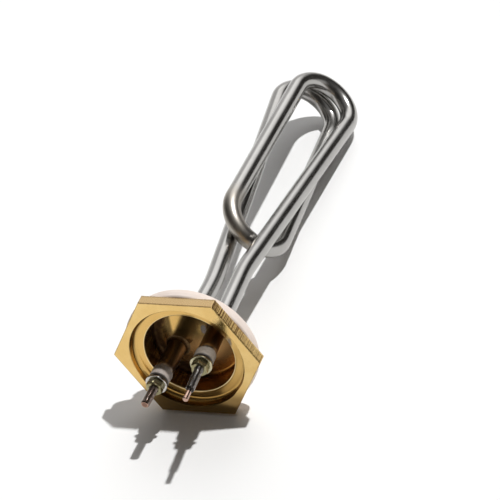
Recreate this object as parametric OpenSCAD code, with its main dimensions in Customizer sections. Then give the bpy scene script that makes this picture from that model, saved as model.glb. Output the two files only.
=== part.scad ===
// Screw plug immersion heater: a brass hexagon plug with a terminal cup, and one folded tubular element.
// Y is the plug's axis, and the element points along +Y. The plane Y = 0 is where the sealing ring seats.

/* [Screw plug] */
// Width across the flats of the hexagon
hex_af = 60; // [57:0.5:68]
// Thickness of the hexagon
hex_t = 5.5; // [5:0.25:9]
// Outside diameter of the pipe thread
thread_d = 47.8; // [46.5:0.1:50]
// Length of the thread past the seating plane, with its lead-in
thread_len = 8; // [6.5:0.5:18]
// Lead-in chamfer at the end of the thread
thread_lead = 1.5; // [0.5:0.1:2]
// Depth of the plain neck under the sealing ring, below the thread's crest
neck_depth = 1; // [0.6:0.1:1.4]
// Wall of the terminal cup, from the neck to the bore
cup_wall = 1.9; // [1.5:0.1:2.6]
// Thickness of the cup's floor
floor_t = 3; // [2:0.25:4]
// Fillet between the cup's bore and its floor
cup_fillet = 1.5; // [0.5:0.25:2.5]
// Chamfer round the mouth of the bore
cup_chamfer = 0.5; // [0.2:0.1:0.8]
// Wall left at each flat by the recess in the front face
recess_rim = 3.4; // [3:0.1:4]
// Depth of the recess in the front face
recess_depth = 4; // [2.5:0.25:4.25]
// Cove between the wall of the recess and its ledge
recess_cove = 2.2; // [1:0.1:2.4]

/* [Sealing ring] */
// Thickness of the sealing ring
ring_t = 5.5; // [3:0.25:7]
// Width of the sealing ring's section, from its bore to its rim
ring_w = 6.6; // [5:0.1:8]
// Slack between the sealing ring's bore and the thread's crest
ring_slack = 0.3; // [0.1:0.05:0.8]
// Rounding of the sealing ring's outer edges
ring_round = 1.2; // [0.5:0.1:2]

/* [Heating element] */
// Outside diameter of the sheath
sheath_d = 8.5; // [7.5:0.1:9]
// Wall of the sheath
sheath_wall = 0.8; // [0.6:0.05:1]
// Distance between the two legs at the seating plane
leg_spacing = 24.3; // [22:0.1:26]
// Angle of the line through both legs, from +X towards +Z
leg_angle = 28; // [20:1:36]
// Lean of each leg towards the plug's axis
leg_lean = 3; // [2.5:0.05:4]
// How far the sheath's mouths stand out of the hexagon's front
mouth_proud = 2.3; // [1:0.1:6]
// Distance of the knees from the seating plane
knee_y = 49.5; // [44:0.5:56]
// Bend radius of the knees, at the middle of the sheath
knee_bend = 25; // [18:1:34]
// Distance of the lower bend's end from the seating plane
low_y = 78; // [72:0.5:90]
// Distance of the lower bend's corners from the plug's axis
low_r = 15.7; // [14.5:0.1:17]
// Gap between the lower bend and the legs that it passes between
cross_gap = 0.35; // [0.2:0.05:1]
// Distance of the upper bends' ends from the seating plane
top_y = 195.5; // [165:0.5:300]
// Distance of the upper bends' wide corners from the plug's axis
wide_r = 18.6; // [18:0.1:19.6]
// Angle of the front loop's wide corner
wide_angle = -28; // [-32:0.5:-25]
// Distance of the upper bends' near corners from the plug's axis
near_r = 13.8; // [13:0.1:15]
// Angle of the front loop's near corner
near_angle = 115.5; // [111:0.5:119]
// Straight stretch left in the middle of each bend
bend_flat = 1; // [0.5:0.1:3]
// Outside diameter of the resistance winding
winding_d = 4; // [3.2:0.1:4.6]
// Thickness of the resistance winding
winding_t = 0.5; // [0.3:0.05:0.8]
// Distance of the winding's ends from the seating plane
winding_y = 32; // [20:1:36]
// Slack between the magnesia filling and what it touches
fill_slack = 0.06; // [0.05:0.01:0.12]
// Swelling of the tube's wall in its bends, each way
bend_swell = 0.02; // [0.01:0.005:0.02]

/* [Brazed joints] */
// Gap between the sheath and its hole, filled with braze
braze_gap = 0.15; // [0.1:0.05:0.3]
// Leg of the braze fillet on each side of the floor
braze_leg = 1.6; // [0.8:0.1:2.2]

/* [Terminals] */
// Diameter of the terminal pin inside the sheath
pin_d = 3.6; // [3:0.1:3.9]
// Outside diameter of the thread on the pin
stud_d = 4; // [3.95:0.05:4.3]
// Depth of the pitch line below the crest of the pin's thread
stud_pitch_depth = 0.22; // [0.15:0.01:0.3]
// Free length of thread past the left nut
stud_left = 10.7; // [8:0.1:16]
// Free length of thread past the right nut
stud_right = 14.3; // [10:0.1:20]
// Chamfer at the end of each thread
stud_chamfer = 0.5; // [0.2:0.1:0.9]
// Diameter of the plain tail on the right pin
tail_d = 2.5; // [2:0.1:2.8]
// Length of the plain tail on the right pin
tail_len = 7.2; // [4:0.1:10]
// Rounding at the tail's end
tail_round = 0.5; // [0.2:0.1:0.8]
// Outside diameter of the ceramic insulator
bead_d = 9.4; // [9.1:0.1:10.5]
// Length of the ceramic insulator outside the sheath
bead_len = 6.5; // [4:0.25:9]
// Rounding of the insulator's edges
bead_round = 0.9; // [0.3:0.1:1.4]
// Length of the insulator's spigot inside the sheath
spigot_len = 3; // [2:0.25:5]
// Slack round the spigot and round the thread in the insulator's bore
bead_slack = 0.1; // [0.05:0.05:0.25]
// Length of the seal behind the spigot
seal_len = 5; // [3:0.5:8]
// Outside diameter of the spring washer
spring_d = 7.6; // [6.8:0.1:8.4]
// Thickness of the spring washer
spring_t = 1.6; // [1:0.1:2]
// Width of the slit in the spring washer
spring_slit = 0.7; // [0.4:0.1:1.2]
// Slant of the slit in the spring washer
spring_slant = 25; // [10:1:40]
// Outside diameter of the flat washer
washer_d = 10.2; // [9:0.1:12]
// Thickness of the flat washer
washer_t = 1; // [0.6:0.1:1.4]
// Slack between the washers' bores and the thread
washer_slack = 0.15; // [0.1:0.05:0.3]
// Width across the flats of the terminal nut
nut_af = 7; // [6.6:0.1:8]
// Height of the terminal nut
nut_h = 3.2; // [2.4:0.1:4.4]
// Depth of the chamfers on the nut's corners
nut_chamfer = 0.45; // [0.2:0.05:0.7]
// Angle of the chamfers on the nut's corners, from its faces
nut_chamfer_angle = 30; // [25:1:40]
// Slack between the nut's bore and the pin at the pitch line
nut_slack = 0.03; // [0.02:0.01:0.06]

/* [Hidden] */

$fn = 96;
LEFT = -1;
RIGHT = 1;
// Overrun of a cutting shape past the face it cuts
over = 1;
// Length of a straight stretch inside the bend that it meets
bend_lap = 0.2;

// Radius of the corners of a hexagon, from its width across the flats
function hex_corner(af) = af / sqrt(3);

// Plug
thread_r = thread_d / 2;
neck_r = thread_r - neck_depth;
cup_r = neck_r - cup_wall;
hex_back = -ring_t;
hex_front = hex_back - hex_t;
floor_y = thread_len - floor_t;
recess_r = hex_af / 2 - recess_rim;
ledge_y = hex_front + recess_depth;
ring_in = thread_r + ring_slack;
ring_out = ring_in + ring_w;
// Depth inside the floor where the cone of a braze fillet ends, since the legs lean
fillet_root = floor_t / 3;

// Element
sheath_r = sheath_d / 2;
sheath_in = sheath_r - sheath_wall;
fill_r = sheath_in - fill_slack;
winding_r = winding_d / 2;
winding_in = winding_r - winding_t;
leg_r = leg_spacing / 2;

// Distances along a leg, from the seating plane towards the terminal
mouth_s = (mouth_proud - hex_front) / cos(leg_lean);
knee_s = -knee_y / cos(leg_lean);
winding_s = -winding_y / cos(leg_lean);
seal_s = mouth_s - spigot_len - seal_len;
bead_end = mouth_s + bead_len;
spring_end = bead_end + spring_t;
washer_end = spring_end + washer_t;
nut_end = washer_end + nut_h;

// Terminal pins
pin_r = pin_d / 2;
stud_r = stud_d / 2;
pitch_r = stud_r - stud_pitch_depth;
tail_r = tail_d / 2;

// Direction of the right leg, from the tank towards its terminal
leg_dir = [sin(leg_lean) * cos(leg_angle), -cos(leg_lean), sin(leg_lean) * sin(leg_angle)];

function unit(v) = v / norm(v);
function half_turn(p) = [-p[0], p[1], -p[2]];
function round_axis(r, a, y) = [r * cos(a), y, r * sin(a)];
function leg_point(s) = round_axis(leg_r, leg_angle, 0) + s * leg_dir;

// Point where the right leg passes the lower bend, on its way from the knee to the wide corner
knee_point = leg_point(knee_s);
wide_point = round_axis(wide_r, wide_angle, top_y);
pass_share = (low_y - knee_point[1]) / (wide_point[1] - knee_point[1]);
pass_point = knee_point + (wide_point - knee_point) * pass_share;
pass_r = norm([pass_point[0], pass_point[2]]);
// Angle of the lower bend's left corner, turned until the bend clears both legs
low_turn = asin((sheath_d + 2 * bend_swell + cross_gap) / pass_r);
low_angle = atan2(pass_point[2], pass_point[0]) + 180 - low_turn;

// Corners of the right half of the element, from the terminal's side to the lower bend
function half_corners(s) = [leg_point(s), knee_point, wide_point, round_axis(near_r, near_angle, top_y),
                            round_axis(low_r, low_angle, low_y)];
function reversed(list) = [for (i = [len(list) - 1 : -1 : 0]) list[i]];
// The left half is the right half turned by 180 degrees about the plug's axis
function corners(s) = concat([for (p = half_corners(s)) half_turn(p)], reversed(half_corners(s)));

function heading(p, i) = unit(p[i + 1] - p[i]);
function turn(p, i) = acos(heading(p, i - 1) * heading(p, i));
// Radius that fills the stretch from corner i to the next with two bends and the flat between them
function bend_between(p, i) = (norm(p[i + 1] - p[i]) - bend_flat)
    / (tan(turn(p, i) / 2) + tan(turn(p, i + 1) / 2));
function bend_radii(p) =
    let (back = bend_between(p, 2), low = bend_between(p, 4), front = bend_between(p, 6))
    [0, knee_bend, back, back, low, low, front, front, knee_bend, 0];
// Length that the bend at corner i takes off each of its two stretches
function setback(p, radii, i) = i == 0 || i == len(p) - 1 ? 0 : radii[i] * tan(turn(p, i) / 2);

// Places children with their own axes along x, y and z at o
module axes_at(o, x, y, z) {
    multmatrix([[x[0], y[0], z[0], o[0]], [x[1], y[1], z[1], o[1]], [x[2], y[2], z[2], o[2]], [0, 0, 0, 1]])
        children();
}

// Places children on a leg: +Z runs along the leg to its terminal, from the seating plane
module on_leg(side) {
    rotate([0, side == LEFT ? 180 : 0, 0])
        rotate([0, -leg_angle, 0])
            translate([leg_r, 0, 0])
                rotate([0, 0, leg_lean])
                    rotate([90, 0, 0])
                        children();
}

// Turns a shape drawn about Z so that its Z runs along the plug's axis
module on_plug_axis() {
    rotate([-90, 0, 0]) children();
}

module ring_section(outer, inner) {
    difference() {
        circle(r = outer);
        if (inner > 0) circle(r = inner);
    }
}

// Stretches and bends in turn, with a round section; each stretch runs a little into its bends
module bent_section(p, outer, inner = 0) {
    radii = bend_radii(p);
    last = len(p) - 1;
    for (i = [0 : last - 1]) {
        u = heading(p, i);
        side = unit(cross(u, [u[2], u[0], u[1]]));
        start = p[i] + u * (setback(p, radii, i) - (i == 0 ? 0 : bend_lap));
        finish = p[i + 1] - u * (setback(p, radii, i + 1) - (i + 1 == last ? 0 : bend_lap));
        axes_at(start, side, cross(u, side), u)
            linear_extrude(norm(finish - start))
                ring_section(outer, inner);
    }
    for (i = [1 : last - 1]) {
        u = heading(p, i - 1);
        normal = unit(cross(u, heading(p, i)));
        outward = -cross(normal, u);
        centre = p[i] - u * setback(p, radii, i) - outward * radii[i];
        axes_at(centre, outward, u, normal)
            rotate_extrude(angle = turn(p, i))
                translate([radii[i], 0])
                    ring_section(outer + bend_swell, inner == 0 ? 0 : inner - bend_swell);
    }
}

// What a quarter circle leaves of a square, for rounding a corner or filling a hollow one
module corner_cut(r) {
    difference() {
        square(r);
        circle(r = r);
    }
}

// A plain ring about Z, from z0 to z1
module tube(z0, z1, outer, inner) {
    translate([0, 0, z0])
        linear_extrude(z1 - z0)
            ring_section(outer, inner);
}

// Section of the space inside the plug: recess, cove, ledge, chamfer and cup
module cavity_section() {
    difference() {
        translate([0, hex_front - over]) square([recess_r, recess_depth + over]);
        translate([recess_r - recess_cove, ledge_y - recess_cove]) corner_cut(recess_cove);
    }
    difference() {
        translate([0, ledge_y - over]) square([cup_r, floor_y - ledge_y + over]);
        translate([cup_r - cup_fillet, floor_y - cup_fillet]) corner_cut(cup_fillet);
    }
    polygon([[0, ledge_y - over], [cup_r + cup_chamfer, ledge_y - over], [cup_r + cup_chamfer, ledge_y],
             [cup_r, ledge_y + cup_chamfer], [0, ledge_y + cup_chamfer]]);
}

// Section of the threaded barrel, with the neck behind the hexagon and the lead-in at the end
module barrel_section() {
    polygon([[0, hex_front], [neck_r, hex_front], [neck_r, 0], [thread_r, 0],
             [thread_r, thread_len - thread_lead], [thread_r - thread_lead, thread_len], [0, thread_len]]);
}

module leg_holes() {
    for (side = [LEFT, RIGHT])
        on_leg(side)
            translate([0, 0, -thread_len - over])
                cylinder(r = sheath_r + braze_gap, h = floor_t + over * 2);
}

module screw_plug() {
    color("goldenrod")
        difference() {
            on_plug_axis() {
                difference() {
                    union() {
                        translate([0, 0, hex_front])
                            cylinder(r = hex_corner(hex_af), h = hex_t, $fn = 6);
                        rotate_extrude() barrel_section();
                    }
                    rotate_extrude() cavity_section();
                }
            }
            leg_holes();
        }
}

module sealing_ring() {
    color("seashell")
        on_plug_axis()
            rotate_extrude()
                difference() {
                    translate([ring_in, hex_back]) square([ring_w, ring_t]);
                    translate([ring_out - ring_round, -ring_round]) corner_cut(ring_round);
                    translate([ring_out - ring_round, hex_back + ring_round])
                        mirror([0, 1])
                            corner_cut(ring_round);
                }
}

module element_sheath() {
    color("lightgray")
        bent_section(corners(mouth_s), sheath_r, sheath_in);
}

// The filling is packed round the winding and inside it
module magnesia_filling() {
    color("whitesmoke") {
        bent_section(corners(seal_s), fill_r, winding_r + fill_slack);
        bent_section(corners(winding_s), winding_in - fill_slack);
    }
}

// The turns are drawn as one sleeve, from one pin's end to the other's
module resistance_winding() {
    color("dimgray")
        bent_section(corners(winding_s), winding_r, winding_in);
}

// Braze fills the hole round the sheath and runs out in a fillet on both sides of the floor
module braze_joint(side) {
    top = -floor_y + braze_leg;
    bottom = -thread_len - braze_leg;
    fillet_r = sheath_r + braze_gap + braze_leg;
    color("darkkhaki")
        difference() {
            on_leg(side)
                rotate_extrude()
                    polygon([[sheath_r, bottom], [sheath_r, top], [sheath_r + braze_gap, top],
                             [fillet_r, -floor_y - fillet_root], [fillet_r, -thread_len + fillet_root],
                             [sheath_r + braze_gap, bottom]]);
            difference() {
                translate([0, floor_y, 0]) on_plug_axis() cylinder(r = cup_r, h = floor_t);
                leg_holes();
            }
        }
}

// The pin is thinner inside the nut, where the two threads are engaged at their pitch line
module terminal_pin(side) {
    end = nut_end + (side == LEFT ? stud_left : stud_right);
    color("silver")
        on_leg(side)
            rotate_extrude()
                difference() {
                    union() {
                        polygon([[0, winding_s], [pin_r, winding_s], [pin_r, bead_end], [stud_r, bead_end],
                                 [stud_r, washer_end], [pitch_r, washer_end], [pitch_r, nut_end],
                                 [stud_r, nut_end], [stud_r, end - stud_chamfer],
                                 [stud_r - stud_chamfer, end], [0, end]]);
                        if (side == RIGHT)
                            translate([0, end - over]) square([tail_r, tail_len + over]);
                    }
                    if (side == RIGHT)
                        translate([tail_r - tail_round, end + tail_len - tail_round])
                            corner_cut(tail_round);
                }
}

module end_seal(side) {
    color("brown")
        on_leg(side)
            tube(seal_s, mouth_s - spigot_len, fill_r, pin_r + fill_slack);
}

module insulator(side) {
    bead_r = bead_d / 2;
    bead_in = stud_r + bead_slack;
    spigot_r = sheath_in - bead_slack;
    color("gainsboro")
        on_leg(side)
            rotate_extrude()
                difference() {
                    union() {
                        translate([bead_in, mouth_s - spigot_len])
                            square([spigot_r - bead_in, spigot_len + bead_len]);
                        translate([bead_in, mouth_s])
                            square([bead_r - bead_in, bead_len]);
                    }
                    translate([bead_r - bead_round, bead_end - bead_round]) corner_cut(bead_round);
                    translate([bead_r - bead_round, mouth_s + bead_round])
                        mirror([0, 1])
                            corner_cut(bead_round);
                }
}

module spring_washer(side) {
    color("darkgray")
        on_leg(side)
            difference() {
                tube(bead_end, spring_end, spring_d / 2, stud_r + washer_slack);
                translate([0, spring_d / 2, (bead_end + spring_end) / 2])
                    rotate([0, spring_slant, 0])
                        cube([spring_slit, spring_d, spring_t + over * 2], center = true);
            }
}

module flat_washer(side) {
    color("silver")
        on_leg(side)
            tube(spring_end, washer_end, washer_d / 2, stud_r + washer_slack);
}

module terminal_nut(side) {
    corner_r = hex_corner(nut_af);
    face_r = corner_r - nut_chamfer / tan(nut_chamfer_angle);
    color("lightgray")
        on_leg(side)
            translate([0, 0, washer_end])
                difference() {
                    intersection() {
                        cylinder(r = corner_r, h = nut_h, $fn = 6);
                        rotate_extrude()
                            polygon([[0, 0], [face_r, 0], [corner_r, nut_chamfer],
                                     [corner_r, nut_h - nut_chamfer], [face_r, nut_h], [0, nut_h]]);
                    }
                    translate([0, 0, -over]) cylinder(r = pitch_r + nut_slack, h = nut_h + over * 2);
                }
}

screw_plug();
sealing_ring();
element_sheath();
magnesia_filling();
resistance_winding();
braze_joint(LEFT);  // braze_joint_left
braze_joint(RIGHT);  // braze_joint_right
terminal_pin(LEFT);  // terminal_pin_left
terminal_pin(RIGHT);  // terminal_pin_right
end_seal(LEFT);  // end_seal_left
end_seal(RIGHT);  // end_seal_right
insulator(LEFT);  // insulator_left
insulator(RIGHT);  // insulator_right
spring_washer(LEFT);  // spring_washer_left
spring_washer(RIGHT);  // spring_washer_right
flat_washer(LEFT);  // flat_washer_left
flat_washer(RIGHT);  // flat_washer_right
terminal_nut(LEFT);  // terminal_nut_left
terminal_nut(RIGHT);  // terminal_nut_right
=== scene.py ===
"""Looks of the screw plug immersion heater: finely modelled pieces, materials, floor, light and camera."""
import math
from types import SimpleNamespace

import bpy
import numpy as np
from mathutils import Matrix, Vector


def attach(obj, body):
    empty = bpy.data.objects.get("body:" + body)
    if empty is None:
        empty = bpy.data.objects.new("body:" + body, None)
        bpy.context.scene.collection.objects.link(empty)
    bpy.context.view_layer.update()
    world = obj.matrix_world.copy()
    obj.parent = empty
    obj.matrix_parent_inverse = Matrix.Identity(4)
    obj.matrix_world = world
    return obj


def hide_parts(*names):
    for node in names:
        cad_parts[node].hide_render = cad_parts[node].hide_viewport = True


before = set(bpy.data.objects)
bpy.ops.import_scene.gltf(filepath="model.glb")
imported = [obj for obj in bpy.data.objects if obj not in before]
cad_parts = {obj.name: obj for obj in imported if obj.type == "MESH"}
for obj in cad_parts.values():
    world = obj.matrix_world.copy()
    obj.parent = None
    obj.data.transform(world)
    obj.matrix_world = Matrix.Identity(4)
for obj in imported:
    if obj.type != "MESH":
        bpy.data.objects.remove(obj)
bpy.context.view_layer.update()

# Sizes in millimetres, degrees and shares, in the part's own frame: Y along the plug's axis, Z up
MM = 0.001
MM_PER_CM = 10.0
FULL_TURN = 2 * math.pi
PLUG_AXIS = (0.0, 1.0, 0.0)
SIDES = {"left": -1, "right": 1}

# Screw plug
HEX_AF = 60.0
HEX_FRONT, HEX_BACK = -11.0, -5.5
CORNER_ROUND = 0.35
EDGE_BEVEL, BEVEL_SHARE = 0.22, 0.3
RECESS_R, COVE, RIM_BREAK = 26.6, 2.2, 0.25
LEDGE_Y = -7.0
CUP_R, CUP_FLOOR = 21.0, 5.0
CUP_FILLET, CUP_CHAMFER = 1.5, 0.5
NECK_R, NECK_FILLET, NECK_END = 22.9, 0.4, -0.6
THREAD_R, THREAD_PITCH, THREAD_DEPTH, THREAD_SOFTNESS = 23.9, 2.309, 1.4, 0.15
THREAD_START, THREAD_RUN_IN = -0.3, 0.9
THREAD_END, THREAD_LEAD = 8.0, 1.5

# Sealing ring
RING_IN, RING_OUT, RING_ROUND = 24.2, 30.8, 1.2
RING_FLAT = 2.2
MOULD_LINE, MOULD_LINE_HALF = 0.05, 0.15

# Element, with knees that turn more gently than the solids' ones, as in the photo
SHEATH_R, SHEATH_BORE, SHEATH_LIP = 4.25, 3.45, 0.18
LEG_SPACING, LEG_ANGLE, LEG_LEAN = 24.3, 28.0, 3.0
MOUTH_PROUD = 2.3
KNEE_Y, KNEE_BEND = 49.5, 110.0
LOW_Y, LOW_R = 78.0, 15.7
CROSS_GAP, BEND_SWELL = 0.35, 0.02
TOP_Y = 195.5
WIDE_R, WIDE_ANGLE = 18.6, -28.0
NEAR_R, NEAR_ANGLE = 13.8, 115.5
BEND_FLAT, BEND_SQUEEZE = 1.0, 0.12
BRAZE_GAP, BRAZE_LEG = 0.15, 1.52
BRAZE_SKIN, BRAZE_SINK = 0.005, 0.02
BRAZE_WAVES = ((3, 0.06), (7, 0.04))
BRAZE_SHIFT = 1.3

# Terminals
PIN_R, PIN_EDGE, PIN_SHOULDER = 1.8, 0.1, 0.3
STUD_R, STUD_PITCH, STUD_DEPTH, STUD_CHAMFER = 2.0, 0.7, 0.35, 0.5
STUD_FREE = {"left": 10.7, "right": 14.3}
STUD_FACE_R, DIMPLE_R, DIMPLE_EDGE, DIMPLE_DEPTH = 1.35, 0.6, 0.04, 0.05
PITCH_LINE_R, RUN_OUT = 1.78, 0.05
TAIL_R, TAIL_LEN, TAIL_ROUND = 1.25, 7.2, 0.5
TAIL_FLARE, TAIL_FLARE_LEN = 0.12, 0.1
COPPER_START = {"left": -0.3, "right": 1.7}
WINDING_Y = 32.0
BEAD_R, BEAD_LEN, BEAD_ROUND, BEAD_BORE = 4.7, 6.5, 0.9, 2.1
BEAD_WAIST, BEAD_MOUTH, BEAD_MOUTH_DEPTH = 0.03, 0.35, 0.3
SPIGOT_R, SPIGOT_LEN, SPIGOT_EDGE = 3.35, 3.0, 0.3
SPRING_R, SPRING_BORE, SPRING_T = 3.8, 2.15, 1.6
SPRING_SLIT, SPRING_WIRE_SHARE, SPRING_EDGE, SPRING_DISH = 0.7, 0.74, 0.12, 0.06
WASHER_R, WASHER_BORE, WASHER_T = 5.1, 2.15, 1.0
WASHER_EDGE, WASHER_BACK_EDGE, WASHER_BACK_RISE = 0.2, 0.05, 0.06
NUT_AF, NUT_H, NUT_BORE = 7.0, 3.2, 1.81
NUT_CORNER, NUT_CHAMFER, NUT_SLOPE = 0.12, 0.45, 30.0
NUT_MOUTH_R, NUT_MOUTH_DEPTH = 2.25, 0.42

# Distances along a leg from the seating plane towards its terminal
COS_LEAN = math.cos(math.radians(LEG_LEAN))
MOUTH_S = (MOUTH_PROUD - HEX_FRONT) / COS_LEAN
BEAD_END = MOUTH_S + BEAD_LEN
SPRING_END = BEAD_END + SPRING_T
WASHER_END = SPRING_END + WASHER_T
NUT_END = WASHER_END + NUT_H

# Fineness of the meshes: steps round a ring, rows along a form, and rows over flat faces
HEX_STEPS, HEX_CROWD = 28, 1.7
NUT_STEPS, NUT_CROWD = 10, 1.3
RING_STEPS, TUBE_STEPS, PIN_STEPS = 160, 44, 36
TURNED_STEPS, DRILL_STEPS, SPRING_STEPS = 72, 64, 84
THREAD_ROWS, STUD_ROWS_PER_TURN = 68, 12
CUP_WALL_ROWS, FLAT_ROWS, FILLET_ROWS, CHAMFER_ROWS = 7, 6, 9, 8
STRAIGHT_STEP, BEND_STEP, LEAST_BEND_STEPS = 2.5, 3.0, 8
CUP_FLOOR_RADII = (3.0, 8.0, 13.0, 17.0)
BARREL_END_RADII = (20.5, 17.0, 12.0, 6.0, 3.0)
LEDGE_ROW = 1.5
FRONT_SHARES = (0.12, 0.5, 0.9, 1.0)
BACK_SHARES = (1.0, 0.9, 0.5, 0.0)


# Mesh helpers

def facing_out(verts, faces):
    """The faces of a closed skin, turned over if they look inward."""
    corners = np.array([(f[0], f[k], f[k + 1]) for f in faces for k in range(1, len(f) - 1)])
    a, b, c = (np.asarray(verts, float)[corners[:, k]] for k in range(3))
    volume = np.einsum("ij,ij->", a, np.cross(b, c))
    return faces if volume > 0.0 else [face[::-1] for face in faces]


def new_object(name, verts, faces, sharp=35.0):
    """A smooth-shaded mesh object from points in millimetres, with edges past the angle kept sharp."""
    mesh = bpy.data.meshes.new(name)
    mesh.from_pydata((np.asarray(verts) * MM).tolist(), [], facing_out(verts, faces))
    mesh.validate()
    mesh.shade_smooth()
    mesh.set_sharp_from_angle(angle=math.radians(sharp))
    obj = bpy.data.objects.new(name, mesh)
    bpy.context.scene.collection.objects.link(obj)
    return obj


def ring_faces(rows, count, closed):
    """Quads between neighbouring rows of points, each row a closed ring."""
    faces = []
    for i in range(rows if closed else rows - 1):
        a, b = i * count, (i + 1) % rows * count
        faces += [(a + j, a + (j + 1) % count, b + (j + 1) % count, b + j) for j in range(count)]
    return faces


def skin(rows, closed=False, fans=(None, None)):
    """Points and faces of a skin through rows of ring points, with a fan to a centre at either end."""
    rows = [np.asarray(r, float) for r in rows]
    count = len(rows[0])
    verts = np.vstack(rows)
    faces = ring_faces(len(rows), count, closed)
    for end, centre in enumerate(fans):
        if centre is None:
            continue
        tip = len(verts)
        verts = np.vstack([verts, centre])
        base = 0 if end == 0 else (len(rows) - 1) * count
        ring = [(base + j, base + (j + 1) % count) for j in range(count)]
        faces += [(b, a, tip) if end == 0 else (a, b, tip) for a, b in ring]
    return verts, faces


def angles(count):
    """Equal steps round a full turn."""
    return np.arange(count) * FULL_TURN / count


def hexagon_angles(steps, crowd):
    """Angles round a hexagon with corners at 0, 60 and so on, crowded towards the corners."""
    half = 30.0 * (np.arange(steps + 1) / steps) ** crowd
    sector = np.concatenate([half, 60.0 - half[::-1][1:-1]])
    return np.radians(np.concatenate([sector + 60.0 * k for k in range(6)]))


def hexagon_radius(turn, apothem, corner):
    """Radius of a hexagon with rounded corners at the given angles."""
    cos_30 = math.cos(math.radians(30.0))
    off = (np.degrees(turn) + 30.0) % 60.0 - 30.0
    flat = apothem / np.cos(np.radians(30.0 - np.abs(off)))
    centre = (apothem - corner) / cos_30
    reach = math.degrees(math.atan2(corner / 2, centre + corner * cos_30))
    inside = np.clip(corner ** 2 - (centre * np.sin(np.radians(off))) ** 2, 0.0, None)
    rounded = centre * np.cos(np.radians(off)) + np.sqrt(inside)
    return np.where(np.abs(off) < reach, rounded, flat)


def about_z(turn, radius, z):
    """Ring of points round the local Z axis."""
    radius = np.broadcast_to(radius, turn.shape)
    return np.stack([radius * np.cos(turn), radius * np.sin(turn), np.broadcast_to(z, turn.shape)], axis=1)


def about_y(turn, radius, y):
    """Ring of points round the plug's axis."""
    return about_z(turn, radius, y)[:, [0, 2, 1]]


def arc(centre, radius, start, stop, steps):
    """Points (radius, height) along an arc, angles in degrees from the outward direction."""
    t = np.radians(np.linspace(start, stop, steps + 1))
    return list(zip(centre[0] + radius * np.cos(t), centre[1] + radius * np.sin(t)))


def revolve(profile, count, closed=False, fans=(None, None)):
    """Skin of a profile of (radius, height) points turned about the local Z axis."""
    turn = angles(count)
    return skin([about_z(turn, r, z) for r, z in profile], closed, fans)


def leg_matrix(side):
    """From a leg's own axes, with Z towards its terminal, to the part's frame, in millimetres."""
    half_turn = Matrix.Rotation(math.pi if SIDES[side] < 0 else 0.0, 4, "Y")
    around = Matrix.Rotation(math.radians(-LEG_ANGLE), 4, "Y")
    out = Matrix.Translation((LEG_SPACING / 2, 0, 0))
    lean = Matrix.Rotation(math.radians(LEG_LEAN), 4, "Z")
    return half_turn @ around @ out @ lean @ Matrix.Rotation(math.pi / 2, 4, "X")


def on_leg(side, verts):
    """Points in a leg's own axes, moved into the part's frame."""
    m = np.array(leg_matrix(side))
    return np.asarray(verts) @ m[:3, :3].T + m[:3, 3]


def thread_flanks(phase, middle, slope):
    """Thread form with straight flanks: 1 at the crest, 0 at the root."""
    from_root = np.abs((phase % 1.0) * 2.0 - 1.0)
    return np.clip((from_root - middle) * slope + 0.5, 0.0, 1.0)


def pipe_thread(phase):
    """Form of the plug's thread, a little rounded."""
    smooth = 0.5 + 0.5 * np.cos(FULL_TURN * phase)
    flanks = thread_flanks(phase, middle=0.5, slope=1.35)
    return flanks + (smooth - flanks) * THREAD_SOFTNESS


def worn_thread(phase):
    """Form of the terminals' threads, with broad worn crests and narrow roots."""
    return thread_flanks(phase, middle=0.35, slope=2.2)


# Screw plug and sealing ring

def cup_rows(turn):
    """Rows from the cup's floor up its wall, over the ledge and out to the front face."""
    foot, top = CUP_FLOOR - CUP_FILLET, LEDGE_Y + CUP_CHAMFER
    profile = [(r, CUP_FLOOR) for r in CUP_FLOOR_RADII]
    profile += arc((CUP_R - CUP_FILLET, foot), CUP_FILLET, 90, 0, steps=8)
    profile += [(CUP_R, y) for y in np.linspace(foot, top, CUP_WALL_ROWS)[1:]]
    profile += arc((CUP_R + CUP_CHAMFER, top), CUP_CHAMFER, 180, 270, steps=5)[1:]
    profile += [(CUP_R + LEDGE_ROW, LEDGE_Y)]
    profile += arc((RECESS_R - COVE, LEDGE_Y - COVE), COVE, 90, 0, steps=12)
    profile += [(RECESS_R, HEX_FRONT + RIM_BREAK), (RECESS_R + RIM_BREAK, HEX_FRONT)]
    return [about_y(turn, r, y) for r, y in profile]


def hexagon_rows(turn):
    """Rows over the hexagon's front face, its bevelled flats and its back face."""
    full, part_way, inset = (hexagon_radius(turn, HEX_AF / 2 - EDGE_BEVEL * share, CORNER_ROUND)
                             for share in (0.0, BEVEL_SHARE, 1.0))
    rim, neck = RECESS_R + RIM_BREAK, NECK_R + NECK_FILLET
    rows = [about_y(turn, rim + (inset - rim) * share, HEX_FRONT) for share in FRONT_SHARES]
    rows.append(about_y(turn, part_way, HEX_FRONT + EDGE_BEVEL * BEVEL_SHARE))
    flats = np.linspace(HEX_FRONT + EDGE_BEVEL, HEX_BACK - EDGE_BEVEL, FLAT_ROWS)
    rows += [about_y(turn, full, y) for y in flats]
    rows.append(about_y(turn, part_way, HEX_BACK - EDGE_BEVEL * BEVEL_SHARE))
    rows += [about_y(turn, neck + (inset - neck) * share, HEX_BACK) for share in BACK_SHARES]
    return rows


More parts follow.
